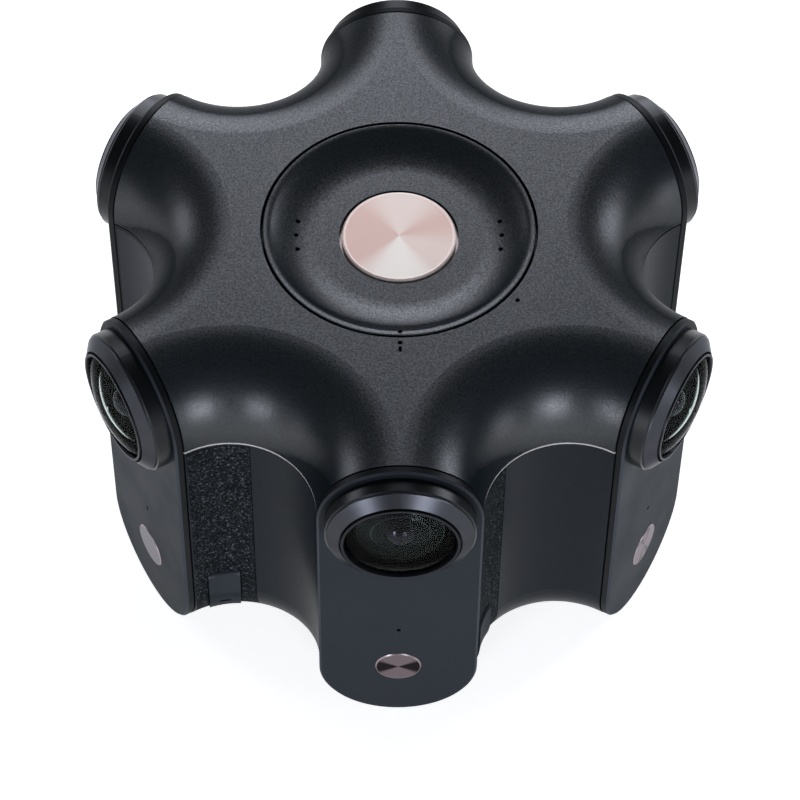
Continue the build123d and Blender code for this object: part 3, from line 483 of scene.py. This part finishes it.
# Plain surfaces: slot, colour, roughness, grain and its depth in millimetres, metallic
PLAIN_SURFACES = (
    ("foot_rubber", linear(24, 24, 25), 0.8, 0.6, 0.08, 0.0),
    ("base_plastic", linear(30, 31, 33), 0.6, 0.35, 0.03, 0.0),
    ("port_plastic", linear(26, 26, 28), 0.5, 0.35, 0.03, 0.0),
    ("fan_plastic", linear(33, 33, 36), 0.45, 0.35, 0.03, 0.0),
    ("circuit_board", linear(26, 84, 58), 0.35, 0.6, 0.02, 0.0),
    ("lens_black", linear(14, 15, 17), 0.3, 0.4, 0.004, 0.0),
    ("port_metal", linear(168, 168, 166), 0.3, 0.4, 0.01, 1.0),
    ("screw_steel", linear(62, 62, 64), 0.35, 0.4, 0.01, 1.0),
    ("thread_steel", linear(176, 174, 170), 0.3, 0.4, 0.01, 1.0),
    ("frame_metal", linear(165, 167, 170), 0.4, 0.5, 0.02, 1.0),
    ("heat_sink_metal", linear(175, 177, 180), 0.38, 0.5, 0.02, 1.0),
)

# Every solid takes its own surface where it has one, and else that of its slot
by_slot = {
    "shell": upper_paint("shell_top_paint"),
    "dish": upper_paint("dish_paint"),
    "shell_trim": door_paint(),
    "mesh": mesh_fabric(),
    "disc_metal": disc_metal(),
    "bezel_metal": bezel_metal(),
    "button_metal": button_metal(),
    "lens_glass": lens_glass(),
    "coated_glass": coated_glass(),
}
for slot, colour, roughness, grain, depth, metallic in PLAIN_SURFACES:
    by_slot[slot] = grained(slot, colour, roughness, grain * MM, depth * MM, metallic=metallic)
by_node = {"lower_shell": lower_paint(), "vent_mesh_5": smooth_panel_paint()}
for index in range(LOBE_COUNT):
    number = str(index + 1)
    by_node["front_plate_" + number] = plate_paint(index)
    by_node["lens_barrel_" + number] = collar_paint(index)
for part in frame["record"]["subparts"]:
    node = frame["nodes"][part["node"]]
    surface = by_node.get(part["node"]) or by_slot[part["material_slot"]]
    node.data.materials.clear()
    node.data.materials.append(surface.material)


def core_lens(index, surface):
    """Small strongly curved lens that stands on the middle of the element, closed behind."""
    axis = outward(index)
    side = UP.cross(axis)
    foot = element_front - core_sink - core_radius * math.cos(core_half_angle)
    middle = axis * foot + lens_centre
    verts = [middle + axis * core_radius]
    for row in range(1, core_rows + 1):
        bend = core_half_angle * row / core_rows
        ring_middle = middle + axis * (core_radius * math.cos(bend))
        ring_radius = core_radius * math.sin(bend)
        for step in range(core_sides):
            turn = math.tau * step / core_sides
            spoke = side * math.cos(turn) + Vector((0, 0, math.sin(turn)))
            verts.append(ring_middle + spoke * ring_radius)
    faces = [(0, 1 + step, 1 + (step + 1) % core_sides) for step in range(core_sides)]
    for row in range(core_rows - 1):
        for step in range(core_sides):
            after = (step + 1) % core_sides
            near = 1 + row * core_sides
            far = near + core_sides
            faces.append((near + step, far + step, far + after, near + after))
    last = 1 + (core_rows - 1) * core_sides
    faces.append(tuple(last + step for step in reversed(range(core_sides))))
    mesh_data = bpy.data.meshes.new("core_lens_" + str(index + 1))
    mesh_data.from_pydata(verts, [], faces)
    for polygon in mesh_data.polygons:
        polygon.use_smooth = len(polygon.vertices) < core_sides
    mesh_data.materials.append(surface.material)
    piece = bpy.data.objects.new("core_lens_" + str(index + 1), mesh_data)
    bpy.context.scene.collection.objects.link(piece)
    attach(piece, "housing")


core_surface = core_glass()
for index in range(LOBE_COUNT):
    core_lens(index, core_surface)


def floor_paint():
    """Near-white paint that glows for camera, mirror and glass rays alone."""
    surface = Surface("floor_paint", linear(244, 244, 244), 0.9, specular=0.0)
    surface.bump(surface.noise(4 * MM), 0.02 * MM)
    rays = surface.tree.nodes.new("ShaderNodeLightPath").outputs
    seen = surface.maths("MAXIMUM", rays["Is Camera Ray"], rays["Is Glossy Ray"])
    seen = surface.maths("MAXIMUM", seen, rays["Is Transmission Ray"])
    surface.set("Emission Color", (1.0, 1.0, 1.0, 1.0))
    surface.feed("Emission Strength", surface.maths("MULTIPLY", seen, floor_glow))
    return surface


bpy.ops.mesh.primitive_plane_add(size=floor_size, location=(0, 0, 0))
floor = bpy.context.object
floor.name = "floor"
floor.data.materials.append(floor_paint().material)


def place_camera():
    level_reach = math.cos(camera_elevation)
    back = Vector((level_reach * math.sin(-camera_turn), -level_reach * math.cos(camera_turn),
                   math.sin(camera_elevation)))
    right = UP.cross(back).normalized()
    aim = UP * aim_height + right * aim_side
    data = bpy.data.cameras.new("camera")
    data.lens = camera_lens
    data.sensor_width = camera_sensor
    data.clip_start = camera_near
    camera = bpy.data.objects.new("camera", data)
    bpy.context.scene.collection.objects.link(camera)
    camera.location = aim + back * camera_distance
    camera.rotation_mode = "QUATERNION"
    camera.rotation_quaternion = (-back).to_track_quat("-Z", "Y") @ Quaternion((0, 0, 1), camera_roll)
    bpy.context.scene.camera = camera


def soft_box(name, turn, rise, distance, width, height, level):
    """Soft box that looks at the body, placed by its direction; level is how bright its face is."""
    turn = math.radians(turn)
    rise = math.radians(rise)
    toward = Vector((math.cos(rise) * math.cos(turn), math.cos(rise) * math.sin(turn), math.sin(rise)))
    data = bpy.data.lights.new(name, "AREA")
    data.shape = "RECTANGLE"
    data.size = width
    data.size_y = height
    data.energy = level * math.pi * width * height
    data.color = lamp_colour
    light = bpy.data.objects.new(name, data)
    bpy.context.scene.collection.objects.link(light)
    light.location = lamp_target + toward * distance
    light.rotation_mode = "QUATERNION"
    light.rotation_quaternion = (-toward).to_track_quat("-Z", "Y")


place_camera()
for box in SOFT_BOXES:
    soft_box(*box)

world = bpy.data.worlds.new("world")
bpy.context.scene.world = world
world.use_nodes = True
background = world.node_tree.nodes["Background"]
background.inputs["Color"].default_value = (1, 1, 1, 1)
background.inputs["Strength"].default_value = world_level

bpy.context.scene.view_settings.view_transform = "Standard"
